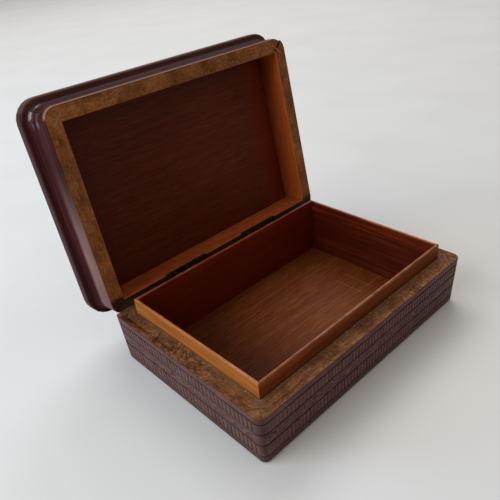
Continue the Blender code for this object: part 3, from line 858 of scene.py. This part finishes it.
# %% One wall
def carve_wall(side, pitch, share, depth, faint, line_share, seed):
    """One wall of the base with its flutes, its curls and its scored lines."""
    wall = Wall(side, seed)
    close_mitres(wall.bm, wall.facing, wall.run)
    settle_lines(wall, line_share)
    lowest, low, high, highest = line_heights
    flutes = chop_flutes(wall, lowest, low, pitch, share, depth, faint)
    flutes += chop_flutes(wall, high, highest, pitch, share, depth, faint)
    press_curls(wall, low, high, 0.8)

    def choose(centre, normal):
        if normal.z > 0.9 and centre.z > rim_height - 0.2 * MM:
            return 1
        inside = depth_below_skin(centre) > line_floor[1]
        return 2 if inside and (normal.dot(wall.facing) < 0.2 or faces_mitre(normal)) else 0

    grain = "xy"[wall.run]
    made = finish_piece(wall.node, wall.bm, [f"stained_{grain}", f"rim_{grain}", "hidden"], choose, 30.0)
    print(f"{wall.node}: {flutes} flutes, {len(made.data.polygons)} faces")


# %% Carve the four walls
carve_wall("front", pitch=2.5, share=0.42, depth=0.26, faint=0.25, line_share=1.0, seed=3)
carve_wall("left", pitch=2.7, share=0.44, depth=0.28, faint=0.9, line_share=0.45, seed=5)
carve_wall("back", pitch=2.5, share=0.42, depth=0.26, faint=0.8, line_share=1.0, seed=7)
carve_wall("right", pitch=2.7, share=0.44, depth=0.28, faint=0.9, line_share=0.45, seed=9)

# %% [markdown]
# ## Liner, floor and splines
#
# Each liner board has one finish outside and another inside, chosen by the way each face points.
# The splines are packed with a little room in their slots, which would show as black gaps, so
# each is swollen across the corner until it fills its slot.

# %% Inside of the base
for side in SIDES:
    run = 0 if side in ("front", "back") else 1
    outer = "liner_end" if run else "liner_front"
    facing = outward(side)
    board = copy_mesh(f"liner_board_{side}")
    close_mitres(board, facing, run)
    finish_piece(f"liner_board_{side}", board, [outer, f"liner_inside_{'xy'[run]}"],
                 lambda centre, normal, facing=facing: 1 if normal.dot(facing) < -0.5 else 0)
finish_piece("bottom_panel", copy_mesh("bottom_panel"), ["tray_floor", "underside"],
             lambda centre, normal: 0 if normal.z > 0.5 else 1)


# %% Splines
def spline_piece(node, material, turn):
    """A spline swollen to fill its slot. turn brings its place to that of the shut box."""
    bm = copy_mesh(node)
    bm.transform(turn)
    low = Vector([min(corner.co[axis] for corner in bm.verts) for axis in range(3)])
    high = Vector([max(corner.co[axis] for corner in bm.verts) for axis in range(3)])
    middle = (low + high) / 2
    across = math.atan2(middle.y, math.copysign(abs(middle.y), middle.x))
    space = Matrix.Rotation(-across, 4, "Z") @ Matrix.Translation(-middle)
    bmesh.ops.scale(bm, vec=(1.85, 1.06, 1.0), space=space, verts=bm.verts)
    bm.transform(turn.inverted())
    finish_piece(node, bm, [material], lambda centre, normal: 0)


for end in ("front_left", "front_right", "back_left", "back_right"):
    spline_piece(f"base_spline_{end}", "spline", Matrix())
    spline_piece(f"lid_spline_{end}", "lid_spline_back" if end.startswith("back") else "lid_spline", shut)

# %% [markdown]
# ## The lid
#
# The rails are bare on the mating face, orange brown inside and polished outside. They could be
# worked on as they stand, tipped back by the hinge, but then no face points along an axis. So
# each is turned shut first, worked on, and turned open again. The front rail's right mitre has
# torn open where the two halves meet, so its outer corner is moved back there, and only there.
# The rails' mitre faces are painted near black, as the shade inside that gap.

# %% Lid rails
torn_height = 3.0 * MM
torn_reach = 7.5 * MM
gape = 1.6 * MM


def open_mitre(bm):
    """Let the front rail's right mitre gape at its outer corner, where its wood has torn."""
    slice_at(bm, 2, rim_height + torn_height, bm.faces[:])
    for corner in bm.verts:
        outer = corner.co.x > half_length - torn_reach and corner.co.y < -half_width + torn_reach
        if outer and corner.co.z < rim_height + torn_height / 2:
            corner.co.x -= gape


def rail_piece(side):
    """One rail, worked on as if the lid were shut and then turned open again."""
    bm = copy_mesh(f"lid_rail_{side}")
    bm.transform(shut)
    bm.normal_update()
    run = 0 if side in ("front", "back") else 1
    facing = outward(side)
    close_mitres(bm, facing, run)
    if side == "front":
        open_mitre(bm)
    bm.transform(opened)

    def choose(centre, normal):
        centre = shut @ centre
        normal = shut.to_3x3() @ normal
        if normal.z < -0.9 and centre.z < rim_height + 1.0 * MM:
            return 1
        if normal.dot(facing) < -0.5:
            return 4 if faces_mitre(normal) else 2
        return 3 if normal.z > 0.9 or (normal.z < -0.9 and normal.dot(facing) <= 0.1) else 0

    materials = [f"polish_{'xy'[run]}", f"lid_rim_{'xy'[run]}", f"lid_inside_{'xy'[run]}", "hidden", "mitre_shade"]
    finish_piece(f"lid_rail_{side}", bm, materials, choose)


for side in SIDES:
    rail_piece(side)


# %% Lid panel, top and runners
def lid_top_piece():
    """The top, with its underside let down so that its seam with the rails is a hairline."""
    bm = copy_mesh("lid_top")
    bm.transform(shut)
    lowest = min(corner.co.z for corner in bm.verts)
    seat = [corner for corner in bm.verts if corner.co.z < lowest + 0.01 * MM]
    bmesh.ops.translate(bm, vec=(0.0, 0.0, -0.25 * MM), verts=seat)
    bm.transform(opened)
    finish_piece("lid_top", bm, ["polish_x"], lambda centre, normal: 0)


lid_top_piece()
plain_piece("lid_inner_panel", "lid_panel")
plain_piece("lid_top_runner_front", "runner")
plain_piece("lid_top_runner_back", "runner")

# %% [markdown]
# ## Hinges
#
# Two butt hinges with their screws and pins, let into the back rail and the back wall.

# %% Hinges
for side in ("left", "right"):
    plain_piece(f"hinge_{side}_pin", "steel")
    for home in ("base", "lid"):
        plain_piece(f"hinge_{side}_{home}_leaf", "brass")
        for letter in "ab":
            plain_piece(f"hinge_{side}_{home}_screw_{letter}", "steel")

# %% [markdown]
# ## Table, light and camera
#
# The box stands on a plain pale table. A large lamp to the left is the window, which gives the
# soft shadow. A small blue lamp behind on the left tints the table there. It is kept out of
# reflections, or it would put a blue shine on the polish. A wide lamp behind on the right is the
# ceiling, and an even, slightly warm world fills in the rest.

# %% Table
def table_finish():
    """Pale and almost even, with slow clouds."""
    finish = Finish("pale_table")
    point = finish.place()
    cloud = finish.noise(point, (90.0, 90.0, 90.0), detail=3.0)
    colour = finish.ramp(cloud, (0.3, swatch(212, 212, 211)), (0.7, swatch(217, 217, 216)))
    return finish.surface(colour, 0.55, finish.bump(cloud, 0.05, 0.2))


table_bm = bmesh.new()
bmesh.ops.create_grid(table_bm, x_segments=1, y_segments=1, size=6.0)
table_mesh = bpy.data.meshes.new("table")
table_bm.to_mesh(table_mesh)
table_bm.free()
table_mesh.materials.append(table_finish())
table = bpy.data.objects.new("table", table_mesh)
bpy.context.scene.collection.objects.link(table)


# %% Light
def area_light(name, place, aim, size, power, colour):
    """A lamp with a shining rectangle, turned from its place to its aim."""
    data = bpy.data.lights.new(name, "AREA")
    data.shape = "RECTANGLE"
    data.size = size[0]
    data.size_y = size[1]
    data.energy = power
    data.color = colour
    lamp = bpy.data.objects.new(name, data)
    lamp.visible_camera = False
    lamp.location = place
    lamp.rotation_euler = (Vector(aim) - Vector(place)).to_track_quat("-Z", "Y").to_euler()
    bpy.context.scene.collection.objects.link(lamp)
    return lamp


area_light("window", (-1.25, 0.3, 0.85), (0.0, 0.0, 0.0), (1.2, 0.9), 15.0, (1.0, 0.98, 0.95))
sky = area_light("sky", (-0.85, 0.75, 0.35), (-0.40, 0.35, 0.0), (0.4, 0.3), 5.0, (0.20, 0.60, 1.0))
sky.visible_glossy = False
area_light("ceiling", (0.7, 1.15, 1.45), (0.35, 0.4, 0.0), (1.8, 1.2), 18.0, (0.95, 0.97, 1.0))

world = bpy.data.worlds.new("room")
bpy.context.scene.world = world
world.use_nodes = True
world.node_tree.nodes["Background"].inputs["Color"].default_value = (1.0, 0.93, 0.85, 1.0)
world.node_tree.nodes["Background"].inputs["Strength"].default_value = 0.44
bpy.context.scene.view_settings.view_transform = "Standard"

# %% [markdown]
# The camera is held by hand, so it is a little tilted. It looks down at the near left corner.

# %% Camera
azimuth = math.radians(-40.41)
elevation = math.radians(31.42)
roll = math.radians(-6.34)
aim_right, aim_up, distance = (2 * half_length * share for share in (-0.1297, 0.0233, 1.8559))
toward = Vector((math.sin(azimuth) * math.cos(elevation), -math.cos(azimuth) * math.cos(elevation),
                 math.sin(elevation)))
right = Vector((0.0, 0.0, 1.0)).cross(toward).normalized()
up = toward.cross(right)
target = Vector((0.0, 0.0, rim_height + 0.1281 * 2 * half_length)) + right * aim_right + up * aim_up
leaning_right = right * math.cos(roll) + up * math.sin(roll)
leaning_up = up * math.cos(roll) - right * math.sin(roll)
camera_data = bpy.data.cameras.new("camera")
camera_data.lens = 40.34
camera_data.sensor_width = 36.0
camera_data.clip_start = 0.01
camera = bpy.data.objects.new("camera", camera_data)
turn = Matrix((leaning_right, leaning_up, toward)).transposed().to_4x4()
camera.matrix_world = Matrix.Translation(target + toward * distance) @ turn
bpy.context.scene.collection.objects.link(camera)
bpy.context.scene.camera = camera
print("camera at", [round(value, 4) for value in camera.location])
